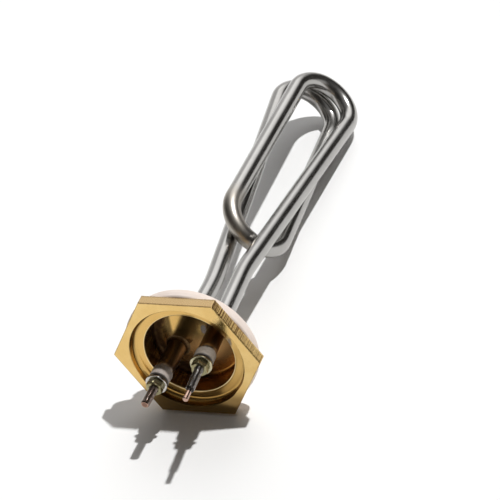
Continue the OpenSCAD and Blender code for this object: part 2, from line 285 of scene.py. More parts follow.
def barrel_rows(turn):
    """Rows down the neck, along the pipe thread and over the barrel's end."""
    neck = arc((NECK_R + NECK_FILLET, HEX_BACK + NECK_FILLET), NECK_FILLET, 270, 180, steps=4)[1:]
    rows = [about_y(turn, r, y) for r, y in neck + [(NECK_R, NECK_END)]]
    for y in np.linspace(THREAD_START, THREAD_END, THREAD_ROWS):
        wave = THREAD_R - THREAD_DEPTH * (1.0 - pipe_thread(y / THREAD_PITCH + turn / FULL_TURN))
        run_in = np.clip((y - THREAD_START) / THREAD_RUN_IN, 0.0, 1.0)
        lead = THREAD_R - max(0.0, y - (THREAD_END - THREAD_LEAD))
        rows.append(about_y(turn, np.minimum(NECK_R + (wave - NECK_R) * run_in, lead), y))
    return rows + [about_y(turn, r, THREAD_END) for r in BARREL_END_RADII]


def make_plug():
    """Hexagon, recess, terminal cup and threaded barrel as one turned and milled body."""
    turn = hexagon_angles(HEX_STEPS, HEX_CROWD)
    rows = cup_rows(turn) + hexagon_rows(turn) + barrel_rows(turn)
    verts, faces = skin(rows, fans=((0, CUP_FLOOR, 0), (0, THREAD_END, 0)))
    plug = new_object("plug_body", verts, faces, sharp=28.0)
    for side in SIDES:
        drill_leg_hole(plug, side)
    return plug


def drill_leg_hole(plug, side):
    """Cuts the hole that the sheath passes through in the cup's floor."""
    hole_r, past = SHEATH_R + BRAZE_GAP, 1.0
    start, stop = -THREAD_END - past, -CUP_FLOOR + past
    verts, faces = revolve([(hole_r, start), (hole_r, stop)], DRILL_STEPS, fans=((0, 0, start), (0, 0, stop)))
    drill = new_object("drill", on_leg(side, verts), faces)
    cut = plug.modifiers.new("hole", "BOOLEAN")
    cut.operation = "DIFFERENCE"
    cut.solver = "EXACT"
    cut.object = drill
    bpy.context.view_layer.update()
    drilled = plug.evaluated_get(bpy.context.evaluated_depsgraph_get())
    mesh = bpy.data.meshes.new_from_object(drilled)
    plug.modifiers.clear()
    plug.data = mesh
    bpy.data.objects.remove(drill)


def make_ring():
    """Soft sealing ring with rounded outer edges and a fine moulding line round its rim."""
    rim, middle = RING_OUT - MOULD_LINE, HEX_BACK / 2
    profile = [(RING_IN, 0.0), (RING_IN, middle), (RING_IN, HEX_BACK), (RING_IN + RING_FLAT, HEX_BACK)]
    profile += arc((rim - RING_ROUND, HEX_BACK + RING_ROUND), RING_ROUND, 270, 360, steps=10)
    profile += [(rim, middle - MOULD_LINE_HALF), (RING_OUT, middle), (rim, middle + MOULD_LINE_HALF)]
    profile += arc((rim - RING_ROUND, -RING_ROUND), RING_ROUND, 0, 90, steps=10)
    profile += [(RING_IN + RING_FLAT, 0.0)]
    turn = angles(RING_STEPS)
    verts, faces = skin([about_y(turn, r, y) for r, y in profile], closed=True)
    return new_object("seal_ring", verts, faces, sharp=40.0)


# Element

def round_axis(radius, angle, y):
    """Point at an angle round the plug's axis."""
    a = math.radians(angle)
    return np.array([radius * math.cos(a), y, radius * math.sin(a)])


def element_corners():
    """Corners of the element's centreline, from the left mouth to the right one."""
    mouth, knee = on_leg("right", [(0, 0, MOUTH_S), (0, 0, -KNEE_Y / COS_LEAN)])
    wide = round_axis(WIDE_R, WIDE_ANGLE, TOP_Y)
    near = round_axis(NEAR_R, NEAR_ANGLE, TOP_Y)
    passing = knee + (wide - knee) * (LOW_Y - knee[1]) / (wide[1] - knee[1])
    clear = 2 * SHEATH_R + 2 * BEND_SWELL + CROSS_GAP
    low_turn = math.degrees(math.asin(clear / math.hypot(passing[0], passing[2])))
    low_angle = math.degrees(math.atan2(passing[2], passing[0])) + 180.0 - low_turn
    half = [mouth, knee, wide, near, round_axis(LOW_R, low_angle, LOW_Y)]
    return np.array([p * (-1, 1, -1) for p in half] + half[::-1])


def bend_radii(corners, turn):
    """Radius at each corner: the knees' own, and at a loop's two corners the one that fits between them."""
    last = len(corners) - 1
    radius = [0.0] * len(corners)
    radius[1] = radius[last - 1] = KNEE_BEND
    for i in range(2, last - 1, 2):
        span = np.linalg.norm(corners[i + 1] - corners[i]) - BEND_FLAT
        radius[i] = radius[i + 1] = span / (math.tan(turn[i] / 2) + math.tan(turn[i + 1] / 2))
    return radius


def bend_points(start, head, next_head, turn, radius):
    """Points of the path round one bend."""
    normal = np.cross(head, next_head)
    outward = -np.cross(normal / np.linalg.norm(normal), head)
    centre = start - outward * radius
    steps = max(LEAST_BEND_STEPS, int(math.degrees(turn) / BEND_STEP))
    points = []
    for k in range(steps):
        swung = turn * k / steps
        arm = outward * math.cos(swung) + head * math.sin(swung)
        along = head * math.cos(swung) - outward * math.sin(swung)
        ease = math.sqrt(math.sin(math.pi * k / steps)) if radius < KNEE_BEND else 0.0
        points.append((centre + arm * radius, along, -arm * ease))
    return points


def element_path():
    """Centreline as (point, tangent, pull), the pull towards a tight bend's centre and zero elsewhere."""
    corners = element_corners()
    runs = np.diff(corners, axis=0)
    heads = runs / np.linalg.norm(runs, axis=1)[:, None]
    turn = [0.0] + [math.acos(a @ b) for a, b in zip(heads, heads[1:])] + [0.0]
    radius = bend_radii(corners, turn)
    setback = [r * math.tan(angle / 2) for r, angle in zip(radius, turn)]
    path = []
    for i, head in enumerate(heads):
        a, b = corners[i] + head * setback[i], corners[i + 1] - head * setback[i + 1]
        steps = max(1, int(np.linalg.norm(b - a) / STRAIGHT_STEP))
        path += [(a + (b - a) * k / steps, head, np.zeros(3)) for k in range(steps)]
        if i + 1 < len(heads):
            path += bend_points(b, head, heads[i + 1], turn[i + 1], radius[i + 1])
    return path + [(corners[-1], heads[-1], np.zeros(3))]


def path_distances(path):
    """Distance from the path's start to each of its points."""
    steps = np.diff([point for point, _, _ in path], axis=0)
    return [0.0] + np.cumsum(np.linalg.norm(steps, axis=1)).tolist()


def tube_rows(path, turn):
    """Outer and inner rings along the path, with no twist and a little flattened in tight bends."""
    side = np.cross(path[0][1], (0.0, 0.0, 1.0))
    outer, inner = [], []
    for point, along, pull in path:
        side = side - along * (side @ along)
        side /= np.linalg.norm(side)
        spoke = np.cos(turn)[:, None] * side + np.sin(turn)[:, None] * np.cross(along, side)
        squeeze = 1.0 - BEND_SQUEEZE / SHEATH_R * (spoke @ pull) ** 2
        outer.append(point + spoke * (SHEATH_R * squeeze)[:, None])
        inner.append(point + spoke * (SHEATH_BORE * squeeze)[:, None])
    return outer, inner


def mouth_rows(point, ring):
    """The two rings of a mouth's flat face, between its broken edges."""
    spoke = (ring - point) / SHEATH_R
    return [point + spoke * (SHEATH_R - SHEATH_LIP), point + spoke * (SHEATH_BORE + SHEATH_LIP)]


def make_sheath():
    """One bent tube, hollow from mouth to mouth."""
    path = element_path()
    outer, inner = tube_rows(path, angles(TUBE_STEPS))
    first, last = mouth_rows(path[0][0], outer[0]), mouth_rows(path[-1][0], outer[-1])
    for rings in (outer, inner):
        rings[0] = rings[0] + path[0][1] * SHEATH_LIP
        rings[-1] = rings[-1] - path[-1][1] * SHEATH_LIP
    verts, faces = skin(outer + last + inner[::-1] + first[::-1], closed=True)
    sheath = new_object("sheath_tube", verts, faces, sharp=50.0)
    lengths = path_distances(path)
    add_tube_uv(sheath, lengths + [lengths[-1]] * 2 + lengths[::-1] + [0.0] * 2)
    return sheath


def add_tube_uv(obj, lengths):
    """UV: the share of a turn round the tube, and the distance along it in centimetres."""
    uv = obj.data.uv_layers.new(name="UVMap")
    loops = np.zeros(len(obj.data.loops), np.int32)
    obj.data.loops.foreach_get("vertex_index", loops)
    starts = np.zeros(len(obj.data.polygons), np.int32)
    obj.data.polygons.foreach_get("loop_start", starts)
    u = loops % TUBE_STEPS / TUBE_STEPS
    corners = starts[:, None] + np.arange(4)
    seam = corners[u[corners].max(axis=1) == (TUBE_STEPS - 1) / TUBE_STEPS]
    u[seam] = np.where(u[seam] == 0.0, 1.0, u[seam])
    coords = np.stack([u, np.array(lengths)[loops // TUBE_STEPS] / MM_PER_CM], axis=1)
    uv.data.foreach_set("uv", coords.astype(np.float32).ravel())


def make_braze(side):
    """Braze in the gap round the sheath, with a hollow fillet on both faces of the cup's floor."""
    turn = angles(TURNED_STEPS)
    m = np.array(leg_matrix(side))
    across = m[1, 0] * np.cos(turn) + m[1, 1] * np.sin(turn)
    inner, hole = SHEATH_R + BRAZE_SKIN, SHEATH_R + BRAZE_GAP
    (waves, swell), (ripples, ripple) = BRAZE_WAVES
    uneven = swell * np.sin(waves * turn + SIDES[side]) + ripple * np.sin(ripples * turn + BRAZE_SHIFT)
    leg = BRAZE_LEG * (1.0 + uneven)

    def row(radius, y, rise=0.0):
        """Ring at a radius from the leg in the plane of that Y, raised along the leg."""
        return about_z(turn, radius, (y - m[1, 3] - radius * across) / m[1, 2] + rise)

    def fillet(share, y, way):
        """Ring at a share of the fillet's foot on the face at that Y."""
        return row(inner + leg * share, y, way * leg * (1.0 - math.sqrt(1.0 - (1.0 - share) ** 2)))

    shares = np.linspace(0.0, 1.0, FILLET_ROWS)
    rows = [fillet(share, CUP_FLOOR, 1) for share in shares]
    rows += [row(hole, CUP_FLOOR + BRAZE_SINK), row(hole, THREAD_END - BRAZE_SINK)]
    rows += [fillet(share, THREAD_END, -1) for share in shares[::-1]]
    verts, faces = skin(rows, closed=True)
    return new_object(f"braze_{side}", on_leg(side, verts), faces, sharp=45.0)


# Terminals

def stud_rows(turn, start, stop, end):
    """Rows of a terminal's thread, chamfered at the stud's end."""
    rows = []
    for z in np.linspace(start, stop, int((stop - start) / STUD_PITCH * STUD_ROWS_PER_TURN)):
        wave = worn_thread(z / STUD_PITCH - turn / FULL_TURN)
        lead = STUD_R - max(0.0, z - (end - STUD_CHAMFER))
        rows.append(about_z(turn, np.minimum(STUD_R - STUD_DEPTH * (1.0 - wave), lead), z))
    return rows


def free_end(side, end):
    """Profile past a terminal's thread, a plain tail on the right one, and the height of its tip."""
    if side == "left":
        return [(STUD_FACE_R, end), (DIMPLE_R, end - DIMPLE_EDGE)], end - DIMPLE_DEPTH
    tip = end + TAIL_LEN
    profile = [(TAIL_R + TAIL_FLARE, end), (TAIL_R, end + TAIL_FLARE_LEN), (TAIL_R, tip - TAIL_ROUND)]
    profile += arc((TAIL_R - TAIL_ROUND, tip - TAIL_ROUND), TAIL_ROUND, 0, 90, steps=6)[1:]
    return profile, tip


def make_pin(side):
    """Terminal pin: plain inside the element, threaded outside, plain at the pitch line inside the nut."""
    turn = angles(PIN_STEPS)
    start, end = -WINDING_Y / COS_LEAN, NUT_END + STUD_FREE[side]
    nut_mouth = NUT_END - NUT_MOUTH_DEPTH
    inside = [(PIN_R - PIN_EDGE, start), (PIN_R, start + PIN_EDGE), (PIN_R, BEAD_END - PIN_SHOULDER)]
    rows = [about_z(turn, r, z) for r, z in inside]
    rows += stud_rows(turn, BEAD_END, WASHER_END - RUN_OUT, end)
    rows += [about_z(turn, PITCH_LINE_R, z) for z in (WASHER_END, nut_mouth)]
    rows += stud_rows(turn, nut_mouth + RUN_OUT, end, end)
    profile, tip = free_end(side, end)
    rows += [about_z(turn, r, z) for r, z in profile]
    verts, faces = skin(rows, fans=((0, 0, start), (0, 0, tip)))
    return new_object(f"pin_{side}", on_leg(side, verts), faces, sharp=50.0)


def make_insulator(side):
    """Ceramic bead with soft edges, standing on the sheath's mouth by its spigot."""
    top, foot = BEAD_END, MOUTH_S
    spigot = foot - SPIGOT_LEN
    profile = [(BEAD_BORE, spigot), (SPIGOT_R - SPIGOT_EDGE, spigot), (SPIGOT_R, spigot + SPIGOT_EDGE)]
    profile += [(SPIGOT_R, foot)]
    profile += arc((BEAD_R - BEAD_ROUND, foot + BEAD_ROUND), BEAD_ROUND, 270, 360, steps=8)
    profile += [(BEAD_R - BEAD_WAIST, (foot + top) / 2)]
    profile += arc((BEAD_R - BEAD_ROUND, top - BEAD_ROUND), BEAD_ROUND, 0, 90, steps=8)
    profile += [(BEAD_BORE + BEAD_MOUTH, top), (BEAD_BORE, top - BEAD_MOUTH_DEPTH)]
    verts, faces = revolve(profile, TURNED_STEPS, closed=True)
    return new_object(f"ceramic_{side}", on_leg(side, verts), faces, sharp=40.0)


def make_flat_washer(side):
    """Stamped washer: rolled edge on the nut's side, sharper edge behind."""
    low, high, edge = SPRING_END, WASHER_END, WASHER_EDGE
    profile = [(WASHER_BORE, high - edge), (WASHER_BORE, low)]
    profile += [(WASHER_R - WASHER_BACK_EDGE, low), (WASHER_R, low + WASHER_BACK_RISE)]
    profile += arc((WASHER_R - 2 * edge, high - 2 * edge), 2 * edge, 0, 90, steps=8)
    profile += [(WASHER_BORE + edge, high)]
    verts, faces = revolve(profile, TURNED_STEPS, closed=True)
    return new_object(f"washer_{side}", on_leg(side, verts), faces, sharp=40.0)


def make_spring_washer(side):
    """Split ring of spring wire, its two cut ends a little out of line."""
    wire, edge, dish = SPRING_T * SPRING_WIRE_SHARE, SPRING_EDGE, SPRING_DISH
    low = [(SPRING_BORE, edge), (SPRING_BORE + edge, 0.0), (SPRING_R - edge, dish), (SPRING_R, edge + dish)]
    section = low + [(r, wire - z) for r, z in low[::-1]]
    half_gap = math.asin(SPRING_SLIT / 2 / ((SPRING_R + SPRING_BORE) / 2))
    turn = math.pi / 2 + np.linspace(half_gap, FULL_TURN - half_gap, SPRING_STEPS)
    base = BEAD_END + np.linspace(0.0, SPRING_T - wire, SPRING_STEPS)
    rows = [[(r * math.cos(t), r * math.sin(t), z + up) for r, z in section] for t, up in zip(turn, base)]
    verts, faces = skin(rows)
    count = len(section)
    faces += [tuple(range(count))[::-1], tuple(range(len(verts) - count, len(verts)))]
    return new_object(f"spring_{side}", on_leg(side, verts), faces, sharp=40.0)


def make_nut(side):
    """Hexagon nut with turned chamfers at both faces and a countersunk mouth."""
    turn = hexagon_angles(NUT_STEPS, NUT_CROWD)
    flats = hexagon_radius(turn, NUT_AF / 2, NUT_CORNER)
    corner = NUT_AF / math.sqrt(3.0)
    slope = math.tan(math.radians(NUT_SLOPE))

    def row(z):
        """Ring of the nut's outside at a height, cut down by the nearer chamfer."""
        cone = corner - max(0.0, NUT_CHAMFER - min(z, NUT_H - z)) / slope
        return about_z(turn, np.minimum(flats, cone), WASHER_END + z)

    chamfer = np.linspace(0.0, NUT_CHAMFER, CHAMFER_ROWS)
    levels = [*chamfer, *(NUT_H - chamfer[::-1])]
    rows = [about_z(turn, NUT_MOUTH_R, WASHER_END)] + [row(z) for z in levels]
    rows.append(about_z(turn, NUT_MOUTH_R, NUT_END))
    rows.append(about_z(turn, NUT_BORE, NUT_END - NUT_MOUTH_DEPTH))
    rows.append(about_z(turn, NUT_BORE, WASHER_END + NUT_MOUTH_DEPTH))
    verts, faces = skin(rows, closed=True)
    return new_object(f"nut_{side}", on_leg(side, verts), faces, sharp=30.0)


# Material helpers

class Tree:
    """Adds nodes to a material or a world, and links them by passing sockets as inputs."""

    def __init__(self, owner):
        owner.use_nodes = True
        self.owner = owner
        self.nodes = owner.node_tree.nodes
        self.links = owner.node_tree.links
        self.nodes.clear()

    def add(self, kind, props=None, out=0, **inputs):
        """An output of a new node. Inputs go by name, with _ for a space, or by number, as in i0."""
        made = self.nodes.new("ShaderNode" + kind)
        for key, value in (props or {}).items():
            setattr(made, key, value)
        for key, value in inputs.items():
            numbered = key[0] == "i" and key[1:].isdigit()
            socket = made.inputs[int(key[1:]) if numbered else key.replace("_", " ")]
            if isinstance(value, bpy.types.NodeSocket):
                self.links.new(value, socket)
            else:
                socket.default_value = value
        return made.outputs[out]

    def math(self, operation, a, b=0.0):
        """One step of arithmetic."""
        return self.add("Math", {"operation": operation}, i0=a, i1=b)

    def times(self, value, *others):
        """Product of all the values."""
        for other in others:
            value = self.math("MULTIPLY", value, other)
        return value

    def plus(self, value, *others):
        """Sum of all the values."""
        for other in others:
            value = self.math("ADD", value, other)
        return value

    def vector(self, operation, a, b=(0.0, 0.0, 0.0), out="Vector"):
        """One step of vector arithmetic."""
        return self.add("VectorMath", {"operation": operation}, out, i0=a, i1=b)

    def along(self, vector, direction):
        """How far a vector reaches in a direction."""
        return self.vector("DOT_PRODUCT", vector, direction, "Value")

    def length(self, vector):
        """Length of a vector."""
        return self.vector("LENGTH", vector, out="Value")

    def split(self, vector):
        """X, Y and Z of a vector."""
        made = self.nodes.new("ShaderNodeSeparateXYZ")
        self.links.new(vector, made.inputs[0])
        return made.outputs

    def ramp(self, value, low, high, to_low=0.0, to_high=1.0):
        """A smooth step from one value at low to the other at high."""
        ends = {"From_Min": low, "From_Max": high, "To_Min": to_low, "To_Max": to_high}
        return self.add("MapRange", {"interpolation_type": "SMOOTHSTEP"}, Value=value, **ends)

    def noise(self, vector, scale, detail=4.0, roughness=0.6):
        """Noise in space, with the scale in cells per millimetre or per step of UV."""
        return self.add("TexNoise", Vector=vector, Scale=scale, Detail=detail, Roughness=roughness)

    def line_noise(self, value, scale, detail):
        """Noise along a line."""
        return self.add("TexNoise", {"noise_dimensions": "1D"}, W=value, Scale=scale, Detail=detail)

    def mix(self, share, a, b):
        """A colour between two, from a at 0 to b at 1, through the Mix node's colour sockets."""
        return self.add("Mix", {"data_type": "RGBA"}, 2, i0=share, i6=a, i7=b)

    def tint(self, colour, other, *shares):
        """A colour moved towards another by the product of the shares."""
        return self.mix(self.times(*shares), colour, other)

    def blend(self, noise, a, b, high=0.7):
        """Two colours in patches that follow a noise."""
        return self.mix(self.ramp(noise, 0.35, high), a, b)

    def place(self):
        """Position in the part's frame in millimetres."""
        here = self.add("TexCoord", out="Object")
        return self.add("Mapping", Vector=here, Scale=(1 / MM, 1 / MM, 1 / MM))

    def near(self, place, centre, reach, soft):
        """1 inside an ellipsoid of the given half sizes, falling to 0 over the soft share of them."""
        offset = self.vector("DIVIDE", self.vector("SUBTRACT", place, centre), reach)
        return self.ramp(self.length(offset), 1.0, 1.0 - soft)

    def bump(self, height, strength, distance=0.05, **below):
        """Relief with its depth in millimetres, laid over a Normal if one is given."""
        return self.add("Bump", Height=height, Strength=strength, Distance=distance * MM, **below)

    def end(self, kind, shader):
        """Ends the tree with the output node that shows the shader."""
        output = self.nodes.new("ShaderNode" + kind)
        self.links.new(shader, output.inputs["Surface"])

    def finish(self, **inputs):
        """Ends a material's tree with a Principled shader."""
        self.end("OutputMaterial", self.add("BsdfPrincipled", **inputs))
        return self.owner


def new_tree(name):
    """The empty tree of a new material."""
    return Tree(bpy.data.materials.new(name))


# Brass

BRASS_DEEP, BRASS_PALE = (0.72, 0.485, 0.18, 1), (0.79, 0.565, 0.235, 1)
SAW_MARK_AND_SHADE, TOP_FLAT_SHADE = (0.165, 0.08, 0.022, 1), (0.40, 0.28, 0.15, 1)
RECESS_SHADE_GOLD, RECESS_SHADE_BROWN = (0.64, 0.40, 0.125, 1), (0.36, 0.20, 0.05, 1)
LOW_FRONT_SHADE, EDGE_BROWN = (0.20, 0.12, 0.042, 1), (0.24, 0.15, 0.06, 1)
CUP_RED_BROWN, CUP_DARK_BROWN = (0.46, 0.245, 0.09, 1), (0.115, 0.072, 0.023, 1)
STREAK_DARK, STREAK_GOLD = (0.18, 0.09, 0.034, 1), (0.55, 0.35, 0.11, 1)
SCORCH_DARK, SCORCH_AND_GLOW_RED = (0.24, 0.105, 0.025, 1), (0.50, 0.215, 0.04, 1)
CORNER_SHADE, RIM_HIGHLIGHT = (0.06, 0.03, 0.014, 1), (0.93, 0.74, 0.40, 1)
STAIN_GREY = (0.17, 0.15, 0.135, 1)

# Places in millimetres between which the plug's masks rise from 0 to 1, and the slope of the wedge of painted
# reflection in the cup
WEDGE_LEFT, WEDGE_RIGHT, WEDGE_LOW, WEDGE_SLOPE = (-12.6, -11.0), (-10.6, -13.2), (-0.5, 4.0), 0.55
WALL_FOOT, CORNER_DEEP, CORNER_LEFT = (15.5, 18.0), (1.5, 3.2), (8.0, 0.0)
RECESS_LOW, SHADE_LOW_HEIGHTS = (-4.0, -20.0), (-14.0, -22.0)
BROWN_HIGH, SCORCH_GLOW_LOW, SCORCH_GLOW_RIGHT = (-6.0, 3.0), (2.0, -10.0), (-9.0, 6.0)

# Heights between which the saw marks and the painted shade on the right flats grow stronger, and their
# strengths there
SAW_SHADE_HIGH = (3.0, 24.0, 0.45, 1.0)

# Spots in the cup: centre, half sizes and the soft share of them
UNBROWNED_SPOT = ((1.6, 5.0, 4.6), (2.2, 2.0, 5.2), 0.8)
FLOOR_STAIN = ((3.7, 5.0, 4.4), (1.9, 2.0, 3.0), 0.4)
WALL_STAIN = ((20.4, -5.2, 8.2), (1.8, 3.0, 4.8), 0.5)


def plug_places(t):
    """Lengths in millimetres and noises that the plug's masks and colours are made from."""
    p = t.place()
    x, y, z = t.split(p)
    at = SimpleNamespace(p=p, x=x, y=y, z=z)
    at.radius = t.length(t.vector("MULTIPLY", p, (1.0, 0.0, 1.0)))
    at.normal = t.add("TexCoord", out="Normal")
    at.facing = t.math("ABSOLUTE", t.along(at.normal, PLUG_AXIS))
    at.blotch = t.noise(p, scale=0.09)
    at.grain = t.noise(p, scale=1.1, detail=5.0)
    return at


def find_flats(t, at):
    """Adds masks of the hexagon's flats, of the right and top ones, and of the edge round its front."""
    half = HEX_AF / 2
    reach = t.math("ABSOLUTE", at.z)
    for slant in (0.5, -0.5):
        across = t.along(at.p, (math.sqrt(0.75), 0.0, slant))
        reach = t.math("MAXIMUM", reach, t.math("ABSOLUTE", across))
    at.flats = t.times(t.ramp(reach, half - 0.4, half - 0.1), t.ramp(at.facing, 0.6, 0.3))
    at.right_flats = t.times(at.flats, t.ramp(t.along(at.normal, (1.0, 0.0, 0.0)), 0.3, 0.7))
    at.top_flat = t.times(at.flats, t.ramp(t.along(at.normal, (0.0, 0.0, 1.0)), 0.8, 0.95))
    front = t.ramp(at.y, HEX_FRONT + 0.45, HEX_FRONT + 0.2)
    at.edge = t.times(t.ramp(reach, half - 0.5, half - 0.2), front)
    along_flat = t.along(at.p, t.vector("CROSS_PRODUCT", at.normal, PLUG_AXIS))
    at.saw = t.line_noise(along_flat, scale=1.3, detail=5.0)


def find_cup(t, at):
    """Adds masks of the recess, of the cup's browned parts, of a wedge of painted reflection, of its scorched
    wall, and of a corner of painted shade.
    """
    inside = t.ramp(at.radius, RECESS_R + 0.4, RECESS_R)
    at.recess = t.times(inside, t.ramp(at.y, HEX_FRONT + 0.05, HEX_FRONT + 0.4))
    in_cup = t.times(t.ramp(at.radius, CUP_R + 0.7, CUP_R + 0.2), t.ramp(at.y, LEDGE_Y, LEDGE_Y + 0.6))
    in_cup = t.times(in_cup, t.ramp(at.y, CUP_FLOOR + 1.5, CUP_FLOOR + 0.5))
    # Painted reflection: a wedge kept unbrowned, and with it a brass-coloured spot; the clean mask is both
    slant = t.math("SUBTRACT", at.x, t.times(at.z, WEDGE_SLOPE))
    reflection_wedge = t.times(t.ramp(at.x, *WEDGE_LEFT), t.ramp(slant, *WEDGE_RIGHT), t.ramp(at.z, *WEDGE_LOW))
    spot = t.times(t.near(at.p, *UNBROWNED_SPOT), t.ramp(at.grain, 0.3, 0.7, 0.1, 0.45))
    clean = t.math("MAXIMUM", reflection_wedge, spot)
    at.browned = t.times(in_cup, t.math("SUBTRACT", 1.0, clean))
    wall_share = t.math("SUBTRACT", 0.92, t.times(clean, 0.5))
    at.wall = t.times(in_cup, t.ramp(at.radius, *WALL_FOOT), wall_share)
    # The left corner at the foot of the wall, which gets painted shade
    at.corner = t.times(at.wall, t.ramp(at.y, *CORNER_DEEP), t.ramp(at.x, *CORNER_LEFT))


def front_colour(t, at):
    """Brass with saw marks and painted shade on the upper right flat, painted shade on the top flat, in the
    recess and low down on the front, and darker on the edge.
    """
    colour = t.blend(at.blotch, BRASS_DEEP, BRASS_PALE)
    # Saw marks on the right flats, painted darker towards the top as shade on the upper right flat
    marked_and_shaded = t.times(at.right_flats, t.ramp(at.z, *SAW_SHADE_HIGH))
    colour = t.tint(colour, SAW_MARK_AND_SHADE, marked_and_shaded, t.ramp(at.saw, 0.45, 0.54))
    # Painted shade: the top flat painted darker
    colour = t.tint(colour, TOP_FLAT_SHADE, at.top_flat, 0.8)
    # Painted shade in the recess, deeper low down where it reflects the floor's shadow
    colour = t.tint(colour, RECESS_SHADE_GOLD, at.recess, 0.8)
    colour = t.tint(colour, RECESS_SHADE_BROWN, at.recess, t.ramp(at.z, *RECESS_LOW), 0.75)
    # Painted shade low on the front face, standing in for the reflection of the floor's shadow
    low_front_shade = t.times(t.ramp(at.z, *SHADE_LOW_HEIGHTS), t.ramp(at.y, HEX_FRONT + 2.0, HEX_FRONT + 0.2))
    colour = t.tint(colour, LOW_FRONT_SHADE, low_front_shade, 0.9)
    return t.tint(colour, EDGE_BROWN, at.edge, t.ramp(at.grain, 0.4, 0.6, 0.2, 0.8))


def cup_colour(t, at, colour):
    """The same with the cup browned and painted darker high up, its wall scorched with a painted glow low on
    the right, painted shade in a corner, and a painted highlight on its rim.
    """
    # Heat-browned oxide, painted darker high up and lighter and redder low down to even out reflected light
    brown = t.mix(t.ramp(at.z, *BROWN_HIGH), CUP_RED_BROWN, CUP_DARK_BROWN)
    colour = t.tint(colour, brown, at.browned, t.ramp(at.blotch, 0.3, 0.7, 0.9, 0.98))
    # The wall: golden streaks on the left; on the right scorch, with a painted glow of warm reflected light
    # low down
    streaks = t.noise(t.vector("MULTIPLY", at.p, (0.45, 0.05, 0.45)), scale=1.0, detail=3.0)
    left = t.mix(t.ramp(streaks, 0.48, 0.62), STREAK_DARK, STREAK_GOLD)
    right = t.mix(t.ramp(at.z, *SCORCH_GLOW_LOW), SCORCH_DARK, SCORCH_AND_GLOW_RED)
    colour = t.mix(at.wall, colour, t.mix(t.ramp(at.x, *SCORCH_GLOW_RIGHT), left, right))
    # Painted shade in the corner
    colour = t.tint(colour, CORNER_SHADE, at.corner, 0.95)
    # Painted highlight round the cup's rim
    rim = t.times(t.ramp(at.radius, CUP_R - 0.05, CUP_R + 0.1), t.ramp(at.radius, CUP_R + 0.65, CUP_R + 0.5))
    lip = t.times(t.ramp(at.y, LEDGE_Y + 0.7, LEDGE_Y + 0.3), t.ramp(at.y, LEDGE_Y - 0.4, LEDGE_Y - 0.1))
    return t.tint(colour, RIM_HIGHLIGHT, rim, lip, 0.8)


def plug_relief(t, at):
    """Turned rings on the faces, saw lines on the flats and a fine grain."""
    rings = t.times(t.line_noise(at.radius, scale=4.0, detail=3.0), at.facing, 0.4)
    scored = t.times(at.saw, at.flats, t.plus(t.times(at.right_flats, 0.9), 0.1))
    lines = t.bump(t.plus(rings, scored), strength=0.25, distance=0.08)
    return t.bump(at.grain, strength=0.05, Normal=lines)


def brass_material():
    """Turned and milled brass: rings on turned faces, saw lines on the flats, heat-browned cup, and painted
    shade, reflection and highlight.
    """
    t = new_tree("brass")
    at = plug_places(t)
    find_flats(t, at)
    find_cup(t, at)
    stain = t.math("MAXIMUM", t.near(at.p, *FLOOR_STAIN), t.near(at.p, *WALL_STAIN))
    stain = t.times(stain, t.ramp(at.grain, 0.3, 0.5, 0.5, 1.0))
    colour = t.mix(stain, cup_colour(t, at, front_colour(t, at)), STAIN_GREY)
    rough = t.plus(t.ramp(at.grain, 0.2, 0.8, 0.14, 0.2), t.times(at.flats, 0.1))
    rough = t.plus(rough, t.times(at.wall, 0.08), t.times(at.corner, 0.25))
    dull = t.math("MAXIMUM", t.times(stain, 0.7), t.times(at.browned, 0.2))
    return t.finish(Base_Color=colour, Metallic=t.math("SUBTRACT", 1.0, dull), Roughness=rough,
                    Normal=plug_relief(t, at), Specular_IOR_Level=0.2)


# Other materials

STEEL_DARK, STEEL_LIGHT = (0.385, 0.376, 0.362, 1), (0.435, 0.426, 0.412, 1)
STEEL_SCUFFED = (0.42, 0.385, 0.335, 1)
LEG_BROWN = {"left": (0.33, 0.25, 0.175, 1), "right": (0.27, 0.195, 0.13, 1)}
SILICONE_DUSKY, SILICONE_PALE = (0.78, 0.665, 0.59, 1), (0.82, 0.715, 0.65, 1)
BEAD_CLEAN = ((0.42, 0.37, 0.335, 1), (0.31, 0.27, 0.24, 1))
BEAD_DIRTY = ((0.25, 0.215, 0.18, 1), (0.17, 0.145, 0.12, 1))
BEAD_SPECK, BEAD_END_SHADE = (0.22, 0.19, 0.17, 1), (0.05, 0.042, 0.036, 1)
PIN_STEEL = {"left": ((0.17, 0.13, 0.115, 1), (0.52, 0.43, 0.39, 1)),
             "right": ((0.055, 0.05, 0.047, 1), (0.46, 0.435, 0.42, 1))}
COPPER_DULL, COPPER_BRIGHT = (0.36, 0.21, 0.155, 1), (0.58, 0.41, 0.33, 1)
COPPER_CORE, THREAD_ROOT_SHADE = (0.20, 0.115, 0.085, 1), (0.04, 0.033, 0.03, 1)
WIRE_DARK, WIRE_LIGHT = (0.20, 0.19, 0.18, 1), (0.42, 0.41, 0.40, 1)

# Places between which masks rise to 1: left to right, down the legs, at the scuffed bend and on the pins
RIGHT_SIDE, LEG_HEAT = (-3.0, 3.0), (16.0, 2.0)
SCUFF_REACH_CM, SCUFF_LEFT = (3.4, 2.0), (5.0, -2.0)
COPPER_FADE, CORE_EDGE = 0.25, (1.35, 1.15)


